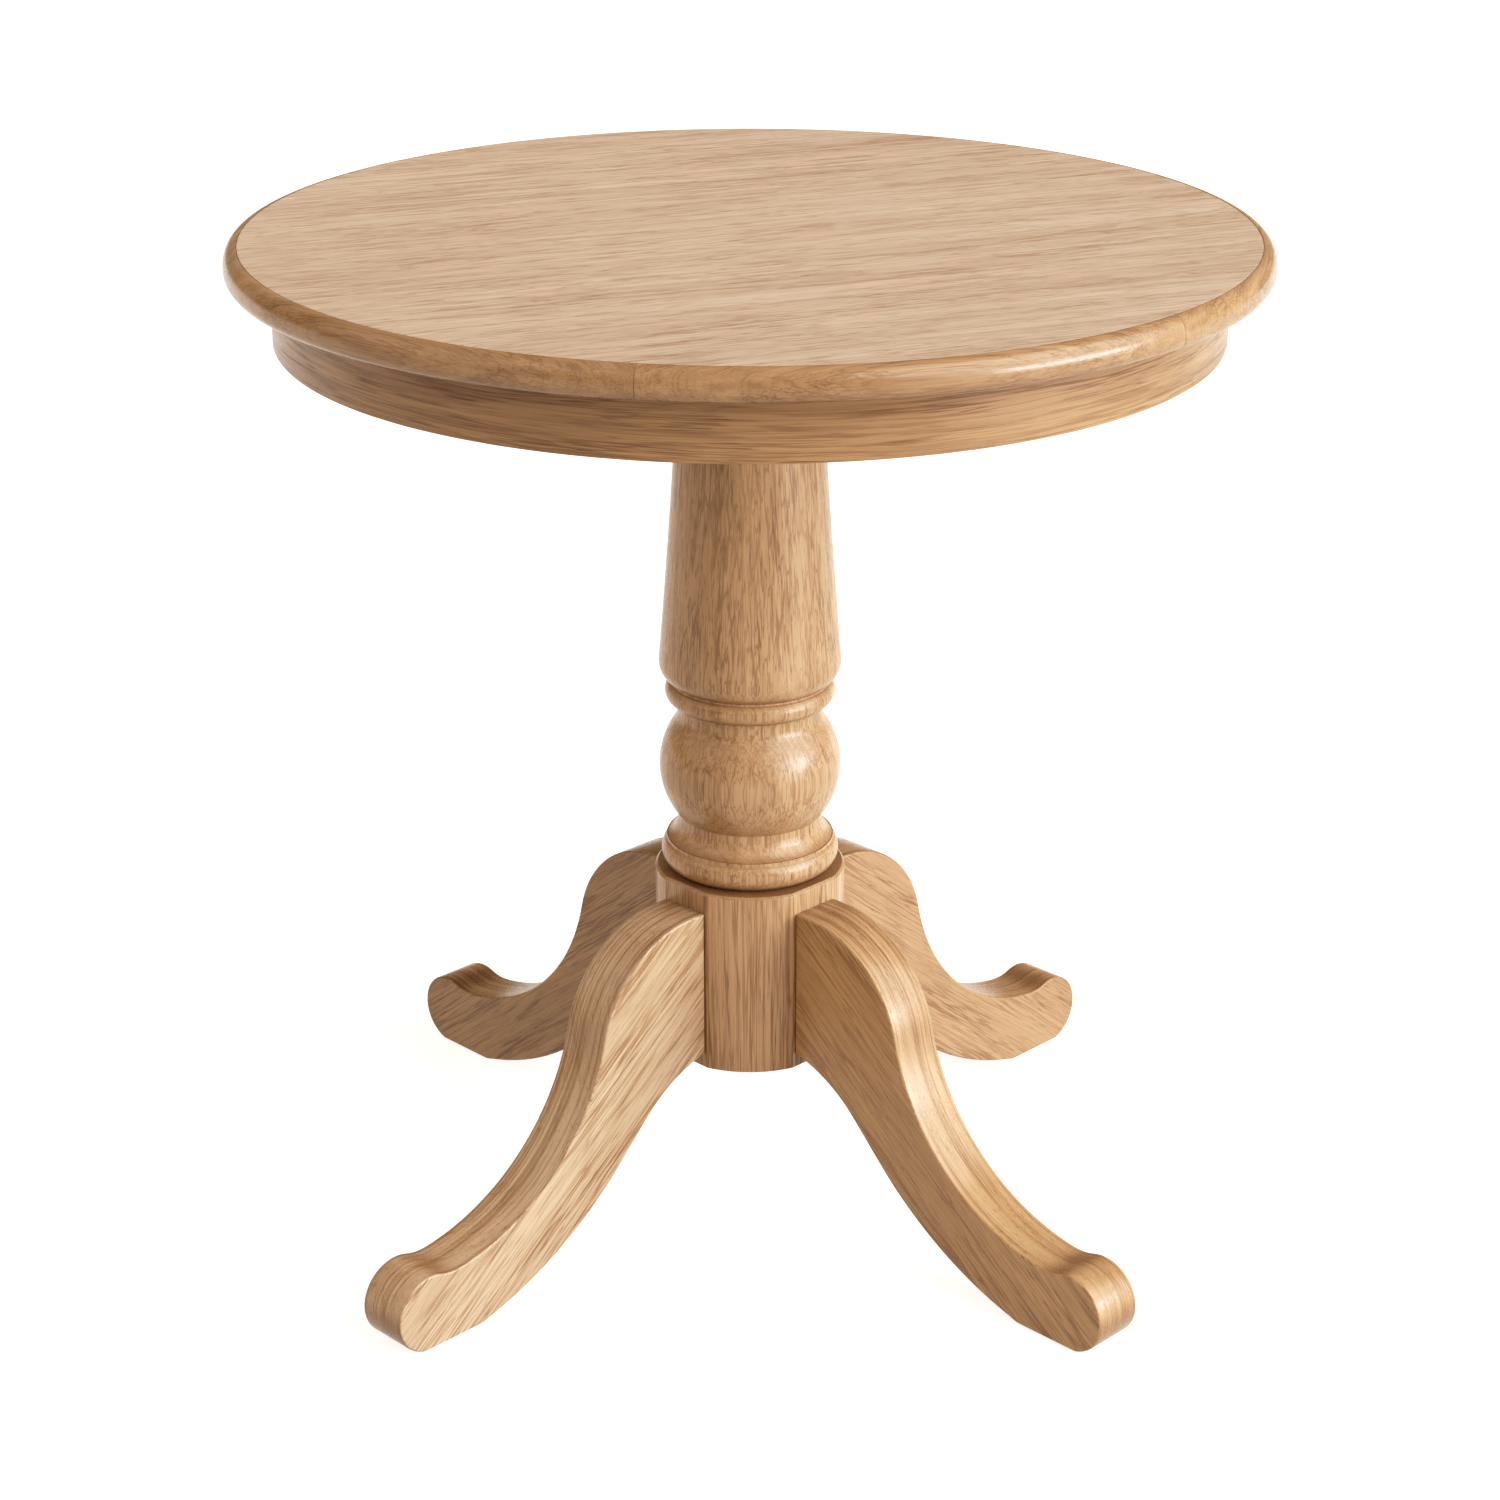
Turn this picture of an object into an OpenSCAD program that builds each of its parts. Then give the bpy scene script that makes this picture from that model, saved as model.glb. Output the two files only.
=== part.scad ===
// Round pedestal table: a veneered round top with a solid bullnose rim, a round apron, a turned
// column and four scrolled legs bolted to the foot of the column.
// Millimetres, +Z up, origin on the floor below the middle of the top. The front is -Y.

/* [Overall] */
// Height of the table
table_h = 770; // [740:5:790]
// Diameter of the top over the rim
top_d = 750; // [720:10:900]

/* [Top] */
// Thickness of the top
top_t = 23; // [20:1:30]
// Thickness of the veneer above and below the core
veneer_t = 0.6; // [0.5:0.1:1]
// Width of the solid rim, most of it under the veneer
rim_w = 40; // [30:1:60]
// Width of the rounded edge outside the veneer
nose_w = 10; // [6:1:16]
// Height of the upper round of the edge
nose_upper_h = 13; // [8:1:14]
// Radius of the lower round of the edge
nose_lower_r = 8; // [4:1:9]
// Number of straight-grained segments in the rim
rim_segments = 6; // [4:1:8]
// Turn of the first rim joint from the front
rim_turn = -11; // [-30:1:30]

/* [Apron] */
// Outer radius of the apron
apron_r = 343; // [300:1:355]
// Thickness of the bent apron
apron_t = 18; // [12:1:22]
// Height of the apron
apron_h = 47; // [40:1:90]
// Number of blocks glued in the corner between apron and top
glue_blocks = 12; // [4:4:12]
// Length of a glue block
glue_block_l = 60; // [30:5:70]
// Leg of a glue block's triangular section
glue_block_w = 24; // [16:1:30]

/* [Bearers] */
// Width of a bearer
bearer_w = 70; // [50:5:80]
// Thickness of a bearer
bearer_t = 28; // [24:1:35]
// Half length of a bearer
bearer_reach = 320; // [250:5:320]
// Thickness of the steel plate on the column
plate_t = 4; // [3:1:6]
// Width of the square steel plate
plate_w = 140; // [130:5:160]

/* [Column] */
// Radius of the round block that the legs stand on
block_r = 73; // [65:0.5:90]
// Height of the block's lower face above the floor
block_z = 130; // [110:1:150]
// Height of the block
block_h = 147; // [135:1:180]
// Distance from the middle of the column to the flat behind each leg
flat_r = 69.5; // [64:0.5:72]
// Radius of the ring moulding on top of the block
ring_r = 68; // [60:1:69]
// Radius of the two necks
neck_r = 55; // [50:0.5:58]
// Radius of the ball
ball_r = 69; // [62:0.5:69.5]
// Height of the middle of the ball above the floor
ball_z = 359; // [355:1:365]
// Radius of the small bead above the ball
bead_r = 64.5; // [60:0.5:68]
// Radius of the shaft where it is thickest, above the bead
shaft_r = 69; // [65:0.5:76]
// Radius of the shaft at its top
shaft_top_r = 51.5; // [45:0.5:60]
// Width of the square pocket for the nuts, under the column
pocket_w = 62; // [50:1:66]

/* [Legs] */
// Thickness of a leg
leg_t = 42; // [36:1:44]
// Distance from the middle of the table to the tip of a foot
leg_reach = 378; // [370:1:385]
// Height of the leg's upper edge at the column
leg_top_z = 260; // [255:1:265]
// Radius of the shoulder
shoulder_r = 92; // [85:1:98]
// Lean of the steepest part of the leg from vertical
leg_lean = 13; // [10:1:16]
// Radius of the long hollow sweep down to the foot
sweep_r = 170; // [160:1:180]
// Radius of the short hollow behind the foot's knob
heel_r = 40; // [30:1:50]
// Radius of the knob at the end of the foot
knob_r = 30.5; // [26:0.5:32]
// Distance from the middle of the table to the inner end of the foot's flat
sole_in = 302; // [290:1:315]
// Radius of the hollow under the leg
under_r = 290; // [270:1:310]
// Radius of the haunch where the leg's underside meets the column
haunch_r = 118; // [105:1:130]
// Length of the straight stretch between hollow and haunch
haunch_run = 41; // [30:1:50]

/* [Hardware] */
// Diameter of the hanger bolts
bolt_d = 8; // [6:2:10]
// Length of the bolt's wood thread inside the leg
bolt_in_leg = 47; // [35:1:60]
// Diameter of the dowels
dowel_d = 10; // [8:2:12]
// Length of the dowels
dowel_l = 40; // [30:5:50]
// Diameter of the glides under the feet
glide_d = 22; // [18:1:26]
// Height of a glide's head
glide_h = 2; // [2:1:5]

/* [Hidden] */
$fn = 96;
eps = 0.01;
fit = 0.1;          // diametral clearance around a wood thread or a dowel

// Compass directions of the four legs and the azimuths that belong to them
corners = ["front_left", "front_right", "back_right", "back_left"];
corner_az = [225, 315, 45, 135];

// Heights, from the top down
top_under = table_h - top_t;
veneer_r = top_d / 2 - nose_w;
core_r = top_d / 2 - rim_w;
apron_in = apron_r - apron_t;
bearer_z = top_under - bearer_t;
plate_z = bearer_z - plate_t;

// The turned profile, from the floor up
block_top = block_z + block_h;
block_edge = 2;
ring_half = 13;
ring_mid = block_top + 12.5;
fillet_r = ring_r - 4;
fillet_top = ring_mid + 11.5;
low_neck_z = ball_z - 42;
cove_drop = low_neck_z - fillet_top;
cove_lip = fillet_r - neck_r - 1;
cove_r = (cove_drop * cove_drop + cove_lip * cove_lip) / (2 * cove_lip);
ball_curve = 62;
neck_curve = 18;
neck_flare = 17;
bead_half = 9.5;
bead_mid = ball_z + 60.5;
groove_r = bead_r - 4;
shaft_foot_r = 17;
shaft_foot_z = bead_mid + 23.5;
shaft_flare = (shaft_r - shaft_top_r) / pow(plate_z - shaft_foot_z, 1.35);

// The leg's outline: centres of its arcs, in the leg's own plane (distance from axis, height)
foot_z = glide_h;
shoulder_c = [flat_r + 14.5, leg_top_z - shoulder_r];
sweep_c = shoulder_c + (shoulder_r + sweep_r) * [cos(leg_lean), sin(leg_lean)];
knob_c = [leg_reach - knob_r, foot_z + knob_r - 1];
heel_c = meet(sweep_c, sweep_r - heel_r, knob_c, heel_r + knob_r);
sole_slope = 12.6;
haunch_slope = 45;
under_c = [sole_in, foot_z] + under_r * [sin(sole_slope), cos(sole_slope)];
haunch_start = under_c - under_r * [sin(haunch_slope), cos(haunch_slope)]
    + haunch_run * [-cos(haunch_slope), sin(haunch_slope)];
haunch_c = haunch_start - haunch_r * [sin(haunch_slope), cos(haunch_slope)];

// Bolts, dowels and glides
bolt_zs = [leg_top_z - 84, leg_top_z - 30];
dowel_zs = [leg_top_z - 105, leg_top_z - 14];
washer_t = 1.6;
spring_t = 2;
nut_t = 6.5;
nut_flats = 13;
bolt_tail = 4;
pocket_top = block_top + 3;
glide_at = (sole_in + knob_c[0]) / 2;
glide_pin_d = 2.5;
glide_pin_l = 14;

// Screws
wood_screw_d = 5;
wood_screw_l = 40;
wood_screw_at = [110, 280];
column_screw_d = 6;
column_screw_l = 60;
column_screw_at = 37;
pan_screw_d = 5;
pan_screw_l = 22;
pan_screw_at = 82;

// ---- helpers ----

// Points along an arc of radius r about c, from angle a0 to angle a1, one every step degrees or so
function arc(c, r, a0, a1, step = 4) =
    let (n = max(1, round(abs(a1 - a0) / step)))
    [for (i = [0 : n]) let (a = a0 + (a1 - a0) * i / n) c + r * [cos(a), sin(a)]];

// The point at distance d1 from c1 and d2 from c2, on the side nearer the table's axis
function meet(c1, d1, c2, d2) =
    let (v = c2 - c1, d = norm(v), u = v / d)
    let (a = (d1 * d1 - d2 * d2 + d * d) / (2 * d), h = sqrt(d1 * d1 - a * a))
    c1 + a * u + h * [u[1], -u[0]];

// The angle of the line from p to q, from 0 to 360
function heading(p, q) = let (a = atan2(q[1] - p[1], q[0] - p[0])) a < 0 ? a + 360 : a;

// A child drawn along +X is turned to stand away from the axis at azimuth az, z above the floor
module outward(az, z) {
    rotate([0, 0, az])
        translate([0, 0, z])
            rotate([0, 90, 0])
                children();
}

// A flat-headed wood screw with its head's face at z = 0 and its point at z = length
module flat_screw(d, length) {
    cylinder(r1 = d, r2 = d / 2, h = d / 2);
    translate([0, 0, d / 2 - eps])
        cylinder(d = d, h = length - 1.5 * d + eps);
    translate([0, 0, length - d])
        cylinder(r1 = d / 2, r2 = 0.3, h = d);
}

// The hole for such a screw
module flat_screw_hole(d, length) {
    translate([0, 0, -eps])
        cylinder(r1 = d + fit / 2 + eps, r2 = (d + fit) / 2, h = d / 2 + fit / 2 + eps);
    cylinder(d = d + fit, h = length + 1);
}

// ---- top ----

module top_core() {
    color("tan")
        difference() {
            translate([0, 0, top_under + veneer_t])
                cylinder(r = core_r, h = top_t - 2 * veneer_t);
            bearer_screw_places()
                flat_screw_hole(wood_screw_d, wood_screw_l);
        }
}

module top_veneer() {
    color("burlywood")
        translate([0, 0, table_h - veneer_t])
            cylinder(r = veneer_r, h = veneer_t);
}

module backing_veneer() {
    color("burlywood")
        difference() {
            translate([0, 0, top_under])
                cylinder(r = veneer_r, h = veneer_t);
            bearer_screw_places()
                flat_screw_hole(wood_screw_d, wood_screw_l);
        }
}

// Section of the rim: a bullnose with a step for the veneer above and below
function rim_section() =
    let (nose = table_h - nose_upper_h, low = [top_d / 2 - nose_lower_r, top_under + nose_lower_r])
    concat(
        [[core_r, table_h - veneer_t], [veneer_r, table_h - veneer_t]],
        [for (a = [90 : -6 : 0]) [veneer_r + nose_w * cos(a), nose + nose_upper_h * sin(a)]],
        arc(low, nose_lower_r, 0, -90, 6),
        [[veneer_r, top_under], [veneer_r, top_under + veneer_t], [core_r, top_under + veneer_t]]
    );

module rim_segment(i) {
    span = 360 / rim_segments;
    color("peru")
        rotate([0, 0, 270 + rim_turn + span * (i - 1)])
            rotate_extrude(angle = span)
                polygon(rim_section());
}

// ---- apron ----

module apron_half(az) {
    color("sandybrown")
        rotate([0, 0, az])
            rotate_extrude(angle = 180)
                translate([apron_in, top_under - apron_h])
                    square([apron_t, apron_h]);
}

// A corner block, scribed to the inside of the apron
module glue_block(i) {
    w = glue_block_w;
    nib = 6;
    color("wheat")
        intersection() {
            rotate([0, 0, 360 / glue_blocks * (i - 1)])
                translate([apron_in, -glue_block_l / 2, top_under])
                    rotate([-90, 0, 0])
                        linear_extrude(glue_block_l)
                            polygon([[-w, 0], [2, 0], [2, w], [-nib, w], [-w, nib]]);
            translate([0, 0, top_under - w])
                cylinder(r = apron_in, h = w, $fn = 180);
        }
}

// ---- bearers, plate and screws ----

// A bearer along its own X, with the half lap cut from above or from below
module bearer(az, lap_z) {
    rotate([0, 0, az])
        difference() {
            translate([-bearer_reach, -bearer_w / 2, bearer_z])
                cube([2 * bearer_reach, bearer_w, bearer_t]);
            translate([-bearer_w / 2, -bearer_w, lap_z])
                cube([bearer_w, 2 * bearer_w, bearer_t]);
        }
}

module bearer_holes() {
    bearer_screw_places()
        flat_screw_hole(wood_screw_d, wood_screw_l);
    pan_screw_places()
        cylinder(d = pan_screw_d + fit, h = pan_screw_l + 1);
}

module lower_bearer() {
    color("wheat")
        difference() {
            bearer(45, bearer_z + bearer_t / 2);
            bearer_holes();
        }
}

module upper_bearer() {
    color("wheat")
        difference() {
            bearer(135, bearer_z - bearer_t / 2);
            bearer_holes();
        }
}

module bearer_screw_places() {
    for (az = corner_az, at = wood_screw_at)
        rotate([0, 0, az])
            translate([at, 0, bearer_z])
                children();
}

module bearer_screws() {
    color("silver")
        bearer_screw_places()
            flat_screw(wood_screw_d, wood_screw_l);
}

module column_plate() {
    color("gray")
        difference() {
            translate([-plate_w / 2, -plate_w / 2, plate_z])
                cube([plate_w, plate_w, plate_t]);
            column_screw_places()
                flat_screw_hole(column_screw_d, column_screw_l);
            pan_screw_places()
                translate([0, 0, -plate_t - eps])
                    cylinder(d = pan_screw_d + 0.5, h = plate_t + 2 * eps);
        }
}

module column_screw_places() {
    for (az = corner_az)
        rotate([0, 0, az])
            translate([column_screw_at, 0, bearer_z])
                mirror([0, 0, 1])
                    children();
}

module plate_to_column_screws() {
    color("silver")
        column_screw_places()
            flat_screw(column_screw_d, column_screw_l);
}

module pan_screw_places() {
    for (az = corner_az)
        rotate([0, 0, az])
            translate([pan_screw_at, 0, bearer_z])
                children();
}

module plate_to_bearer_screws() {
    head_h = 3;
    color("silver")
        pan_screw_places()
            translate([0, 0, -plate_t]) {
                translate([0, 0, -head_h])
                    cylinder(d = 2 * pan_screw_d, h = head_h);
                cylinder(d = pan_screw_d, h = pan_screw_l);
            }
}

// ---- column ----

// Radius of the shaft at a height: nearly straight at the top, flaring towards its foot
function shaft_radius(z) = shaft_top_r + shaft_flare * pow(plate_z - z, 1.35);

// Where a circle about c, seen from the axis, reaches radius r: the angle from +r towards +z
function reach_angle(c, curve, r) = acos((r - c[0]) / curve);

function column_profile() =
    let (ring_c = [ring_r - ring_half, ring_mid])
    let (cove_c = [neck_r + cove_r, low_neck_z])
    let (ball_c = [ball_r - ball_curve, ball_z])
    let (bead_c = [bead_r - bead_half, bead_mid])
    let (foot_c = [shaft_r - shaft_foot_r, shaft_foot_z])
    let (ring_a = asin((ring_mid - block_top) / ring_half))
    let (cove_a = asin(cove_drop / cove_r))
    let (ball_a = reach_angle(ball_c, ball_curve, neck_r))
    let (neck_a = reach_angle(ball_c, ball_curve + neck_curve, neck_r + neck_curve))
    let (neck_c = ball_c + (ball_curve + neck_curve) * [cos(neck_a), sin(neck_a)])
    let (neck_top_r = neck_c[0] - neck_curve * cos(neck_flare))
    let (bead_low_a = reach_angle(bead_c, bead_half, neck_top_r))
    let (bead_a = reach_angle(bead_c, bead_half, groove_r))
    let (foot_a = reach_angle(foot_c, shaft_foot_r, groove_r))
    concat(
        [[0, block_z], [block_r, block_z]],
        [[block_r, block_top - block_edge], [block_r - block_edge, block_top]],
        arc(ring_c, ring_half, -ring_a, reach_angle(ring_c, ring_half, fillet_r), 10),
        [[fillet_r, fillet_top]],
        arc(cove_c, cove_r, 180 + cove_a, 180, 8),
        arc(ball_c, ball_curve, -ball_a, neck_a, 4),
        arc(neck_c, neck_curve, 180 + neck_a - 6, 180 - neck_flare, 8),
        arc(bead_c, bead_half, -bead_low_a, bead_a, 12),
        arc(foot_c, shaft_foot_r, -foot_a, 0, 9),
        [for (i = [1 : 16]) let (z = shaft_foot_z + (plate_z - shaft_foot_z) * i / 16)
            [shaft_radius(z), z]],
        [[0, plate_z]]
    );

module turned_body() {
    difference() {
        rotate_extrude()
            polygon(column_profile());
        for (az = corner_az)
            rotate([0, 0, az])
                translate([flat_r, -block_r, block_z - 1])
                    cube([block_r, 2 * block_r, block_h + 1 + eps]);
        rotate([0, 0, 45])
            translate([-pocket_w / 2, -pocket_w / 2, block_z - 1])
                cube([pocket_w, pocket_w, pocket_top - block_z + 1]);
    }
}

module pedestal_column() {
    wall = flat_r - pocket_w / 2;
    color("tan")
        difference() {
            turned_body();
            for (az = corner_az, z = bolt_zs)
                outward(az, z)
                    translate([0, 0, pocket_w / 2 - 1])
                        cylinder(d = bolt_d + 1, h = wall + 2);
            for (az = corner_az, z = dowel_zs)
                outward(az, z)
                    translate([0, 0, flat_r - dowel_l / 2 - 1])
                        cylinder(d = dowel_d + fit, h = dowel_l);
            column_screw_places()
                cylinder(d = column_screw_d + fit, h = column_screw_l + 1);
        }
}

// ---- legs ----

function leg_outline() =
    let (knob_bottom = asin((foot_z - knob_c[1]) / knob_r))
    let (root = acos((flat_r - haunch_c[0]) / haunch_r))
    let (heel_a = heading(sweep_c, heel_c))
    let (knob_a = heading(heel_c, knob_c))
    concat(
        [[flat_r, leg_top_z]],
        arc(shoulder_c, shoulder_r, 90, leg_lean),
        arc(sweep_c, sweep_r, 180 + leg_lean, heel_a),
        arc(heel_c, heel_r, heel_a, knob_a),
        arc(knob_c, knob_r, knob_a - 180, knob_bottom, 8),
        arc(under_c, under_r, 270 - sole_slope, 270 - haunch_slope, 2.5),
        arc(haunch_c, haunch_r, haunch_slope, root)
    );

module leg(az) {
    color("tan")
        difference() {
            rotate([0, 0, az])
                rotate([90, 0, 0])
                    linear_extrude(leg_t, center = true)
                        polygon(leg_outline());
            for (z = bolt_zs)
                outward(az, z)
                    cylinder(d = bolt_d + fit, h = flat_r + bolt_in_leg + 2);
            for (z = dowel_zs)
                outward(az, z)
                    cylinder(d = dowel_d + fit, h = flat_r + dowel_l / 2 + 1);
            rotate([0, 0, az])
                translate([glide_at, 0, 0])
                    cylinder(d = glide_pin_d + fit, h = foot_z + glide_pin_l);
        }
}

// ---- leg hardware ----

// Distance from the axis to the nut's inner face
nut_in = pocket_w / 2 - washer_t - spring_t - nut_t;

module leg_bolts(az) {
    tip = 6;
    start = nut_in - bolt_tail;
    shank = flat_r + bolt_in_leg - tip - start;
    color("silver")
        for (z = bolt_zs)
            outward(az, z)
                translate([0, 0, start]) {
                    cylinder(d = bolt_d, h = shank);
                    translate([0, 0, shank])
                        cylinder(r1 = bolt_d / 2, r2 = 1, h = tip);
                }
}

module washers(az) {
    color("silver")
        for (z = bolt_zs)
            outward(az, z)
                translate([0, 0, pocket_w / 2 - washer_t])
                    difference() {
                        cylinder(d = 2 * bolt_d, h = washer_t);
                        translate([0, 0, -1])
                            cylinder(d = bolt_d + 0.4, h = washer_t + 2);
                    }
}

module spring_washers(az) {
    gap = 1.2;
    color("gray")
        for (z = bolt_zs)
            outward(az, z)
                translate([0, 0, nut_in + nut_t])
                    difference() {
                        cylinder(d = 1.75 * bolt_d, h = spring_t);
                        translate([0, 0, -1])
                            cylinder(d = bolt_d + 0.3, h = spring_t + 2);
                        translate([0, -gap / 2, -1])
                            cube([bolt_d, gap, spring_t + 2]);
                    }
}

module nuts(az) {
    color("silver")
        for (z = bolt_zs)
            outward(az, z)
                translate([0, 0, nut_in])
                    difference() {
                        cylinder(d = nut_flats / cos(30), h = nut_t, $fn = 6);
                        translate([0, 0, -1])
                            cylinder(d = bolt_d + fit, h = nut_t + 2);
                    }
}

module dowels(az) {
    color("wheat")
        for (z = dowel_zs)
            outward(az, z)
                translate([0, 0, flat_r - dowel_l / 2])
                    cylinder(d = dowel_d, h = dowel_l);
}

module glide(az) {
    color("dimgray")
        rotate([0, 0, az])
            translate([glide_at, 0, 0]) {
                cylinder(d1 = glide_d - 1, d2 = glide_d, h = glide_h);
                cylinder(d = glide_pin_d, h = glide_h + glide_pin_l - 1);
            }
}

// ---- assembly ----

top_core();
top_veneer();
backing_veneer();
for (i = [1 : rim_segments])
    rim_segment(i);
apron_half(180);  // apron_front_half
apron_half(0);  // apron_back_half
for (i = [1 : glue_blocks])
    glue_block(i);
lower_bearer();
upper_bearer();
bearer_screws();
column_plate();
plate_to_column_screws();
plate_to_bearer_screws();
pedestal_column();
for (i = [0 : 3])
    leg(corner_az[i]);
for (i = [0 : 3])
    leg_bolts(corner_az[i]);
for (i = [0 : 3])
    washers(corner_az[i]);
for (i = [0 : 3])
    spring_washers(corner_az[i]);
for (i = [0 : 3])
    nuts(corner_az[i]);
for (i = [0 : 3])
    dowels(corner_az[i]);
for (i = [0 : 3])
    glide(corner_az[i]);
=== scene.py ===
import math

import bmesh
import bpy
import numpy as np
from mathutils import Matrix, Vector


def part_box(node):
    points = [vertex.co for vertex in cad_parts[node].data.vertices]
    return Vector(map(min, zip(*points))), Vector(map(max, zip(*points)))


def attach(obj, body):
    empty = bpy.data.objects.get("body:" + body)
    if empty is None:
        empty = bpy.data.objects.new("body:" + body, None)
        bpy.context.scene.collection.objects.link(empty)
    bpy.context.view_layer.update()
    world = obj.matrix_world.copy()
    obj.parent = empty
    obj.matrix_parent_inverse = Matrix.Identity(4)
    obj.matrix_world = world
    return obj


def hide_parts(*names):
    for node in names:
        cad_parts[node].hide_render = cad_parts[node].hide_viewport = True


# Round pedestal table in clear-lacquered oak. Metres, +Z up, front is -Y. Every shape is read from
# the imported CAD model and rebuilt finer, with eased edges; this script only adds what wood looks like.

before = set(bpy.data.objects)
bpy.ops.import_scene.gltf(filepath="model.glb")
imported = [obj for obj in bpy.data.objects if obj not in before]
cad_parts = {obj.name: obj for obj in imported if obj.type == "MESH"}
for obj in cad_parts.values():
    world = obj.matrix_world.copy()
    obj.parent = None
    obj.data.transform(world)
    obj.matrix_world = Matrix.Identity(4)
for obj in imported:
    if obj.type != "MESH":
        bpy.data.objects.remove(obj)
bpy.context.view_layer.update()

MM = 0.001
TAU = 2 * math.pi
EASED_STEPS = 10               # steps along each eased corner
SHARP_TURN = math.radians(22)  # an outline turning more than this has a corner
SHARP_EDGE = math.radians(11)  # a mesh edge folding more than this is shown sharp

top_lo, top_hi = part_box("top_veneer")
column_lo, column_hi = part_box("pedestal_column")
LEG_AZIMUTHS = {"front_left": 225, "front_right": 315, "back_right": 45, "back_left": 135}


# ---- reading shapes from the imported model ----

def node_points(node):
    """The distinct vertices of a CAD node, as an array of x, y, z."""
    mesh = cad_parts[node].data
    points = np.empty(len(mesh.vertices) * 3)
    mesh.vertices.foreach_get("co", points)
    return np.unique(points.reshape(-1, 3).round(6), axis=0)


def flat_outline(node, flatten, level):
    """The longest closed outline among the node's faces whose third flattened coordinate is level.
    flatten turns x, y, z into outline x, outline y and that third coordinate."""
    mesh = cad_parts[node].data
    flat = {v.index: tuple(round(c, 6) for c in flatten(*v.co)) for v in mesh.vertices}
    sides = {}
    for face in mesh.polygons:
        corners = [flat[i] for i in face.vertices]
        if any(abs(c[2] - level) > 0.01 * MM for c in corners):
            continue
        for a, b in zip(corners, corners[1:] + corners[:1]):
            if (b[:2], a[:2]) in sides:
                del sides[(b[:2], a[:2])]
            else:
                sides[(a[:2], b[:2])] = True
    following = dict(sides.keys())
    loops = []
    while following:
        start, here = following.popitem()
        loop = [start]
        while here != start:
            loop.append(here)
            here = following.pop(here)
        loops.append(loop)
    longest = max(loops, key=lambda loop: sum(math.dist(a, b) for a, b in zip(loop, loop[1:])))
    return [Vector(p) for p in longest]


def in_leg(azimuth):
    """Turns x, y, z into the leg's own distance from the axis, height and distance sideways."""
    c, s = math.cos(azimuth), math.sin(azimuth)
    return lambda x, y, z: (x * c + y * s, z, y * c - x * s)


def turned_profile(node, low, high, least_r):
    """The outline of a turned CAD node between two heights, as (radius, height) from the bottom up."""
    points = node_points(node)
    radii = np.hypot(points[:, 0], points[:, 1])
    kept = (points[:, 2] > low) & (points[:, 2] < high) & (radii > least_r)
    rings = sorted({(round(z, 5), round(r, 5)) for r, z in zip(radii[kept], points[kept, 2])})
    profile = [rings.pop(0)]
    while rings:
        level = [p for p in rings if p[0] == rings[0][0]]
        nearest = min(level, key=lambda p: abs(p[1] - profile[-1][1]))
        rings.remove(nearest)
        profile.append(nearest)
    return [Vector((r, z)) for z, r in profile]


# ---- outlines ----

def turn_at(before, here, after):
    return (here - before).angle_signed(after - here, 0)


def straightened(outline, closed):
    """The outline without points that lie on a straight line or on top of each other."""
    kept = []
    count = len(outline)
    for i, here in enumerate(outline):
        if not closed and i in (0, count - 1):
            kept.append(here)
            continue
        before, after = outline[i - 1], outline[(i + 1) % count]
        if (here - before).length > 0.005 * MM and abs(turn_at(before, here, after)) > 1e-4:
            kept.append(here)
    return kept


def eased(outline, radius, closed):
    """The outline with each corner replaced by an arc."""
    points = []
    count = len(outline)
    for i, here in enumerate(outline):
        if not closed and i in (0, count - 1):
            points.append(here)
            continue
        before, after = outline[i - 1], outline[(i + 1) % count]
        turn = turn_at(before, here, after)
        if abs(turn) < SHARP_TURN:
            points.append(here)
            continue
        room = 0.45 * min((here - before).length, (after - here).length)
        cut = min(radius * math.tan(abs(turn) / 2), room)
        first = here + (before - here).normalized() * cut
        last = here + (after - here).normalized() * cut
        for k in range(EASED_STEPS + 1):
            t = k / EASED_STEPS
            points.append(first * (1 - t) ** 2 + here * 2 * t * (1 - t) + last * t ** 2)
    return points


def smoothed(outline, step, closed):
    """A smooth curve through the outline's points, with a point at least every step. A span much
    longer than both its neighbours is a straight one."""
    count = len(outline)
    spans = count if closed else count - 1
    lengths = [(outline[(i + 1) % count] - outline[i]).length for i in range(spans)]

    def along(i):
        return (outline[(i + 1) % count] - outline[i]).normalized()

    def is_straight(i):
        beside = [lengths[j % spans] for j in (i - 1, i + 1) if closed or 0 <= j < spans]
        return lengths[i] > 2.5 * max(beside)

    def heading(i):
        before, after = (i - 1) % spans, i % spans
        if not closed and i in (0, count - 1):
            return along(0 if i == 0 else spans - 1)
        for span in (before, after):
            if is_straight(span):
                return along(span)
        return tangent(outline[i - 1], outline[i % count], outline[(i + 1) % count])

    points = []
    for i in range(spans):
        start, end = outline[i], outline[(i + 1) % count]
        out, into = heading(i) * lengths[i], heading((i + 1) % count if closed else i + 1) * lengths[i]
        pieces = max(1, math.ceil(lengths[i] / step))
        for k in range(pieces):
            t = k / pieces
            points.append(start * (2 * t ** 3 - 3 * t ** 2 + 1) + out * (t ** 3 - 2 * t ** 2 + t)
                          + end * (3 * t ** 2 - 2 * t ** 3) + into * (t ** 3 - t ** 2))
    if not closed:
        points.append(outline[-1])
    return points


def tangent(before, here, after):
    """The direction at the middle one of three points on a circle."""
    a, b = here - before, after - here
    return (a.normalized() * b.length + b.normalized() * a.length).normalized()


def inset(outline, distance):
    """A closed outline moved inwards. The outline runs anticlockwise."""
    count = len(outline)
    moved = []
    for i, here in enumerate(outline):
        along = tangent(outline[i - 1], here, outline[(i + 1) % count])
        moved.append(here + Vector((-along.y, along.x)) * distance)
    return moved


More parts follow.
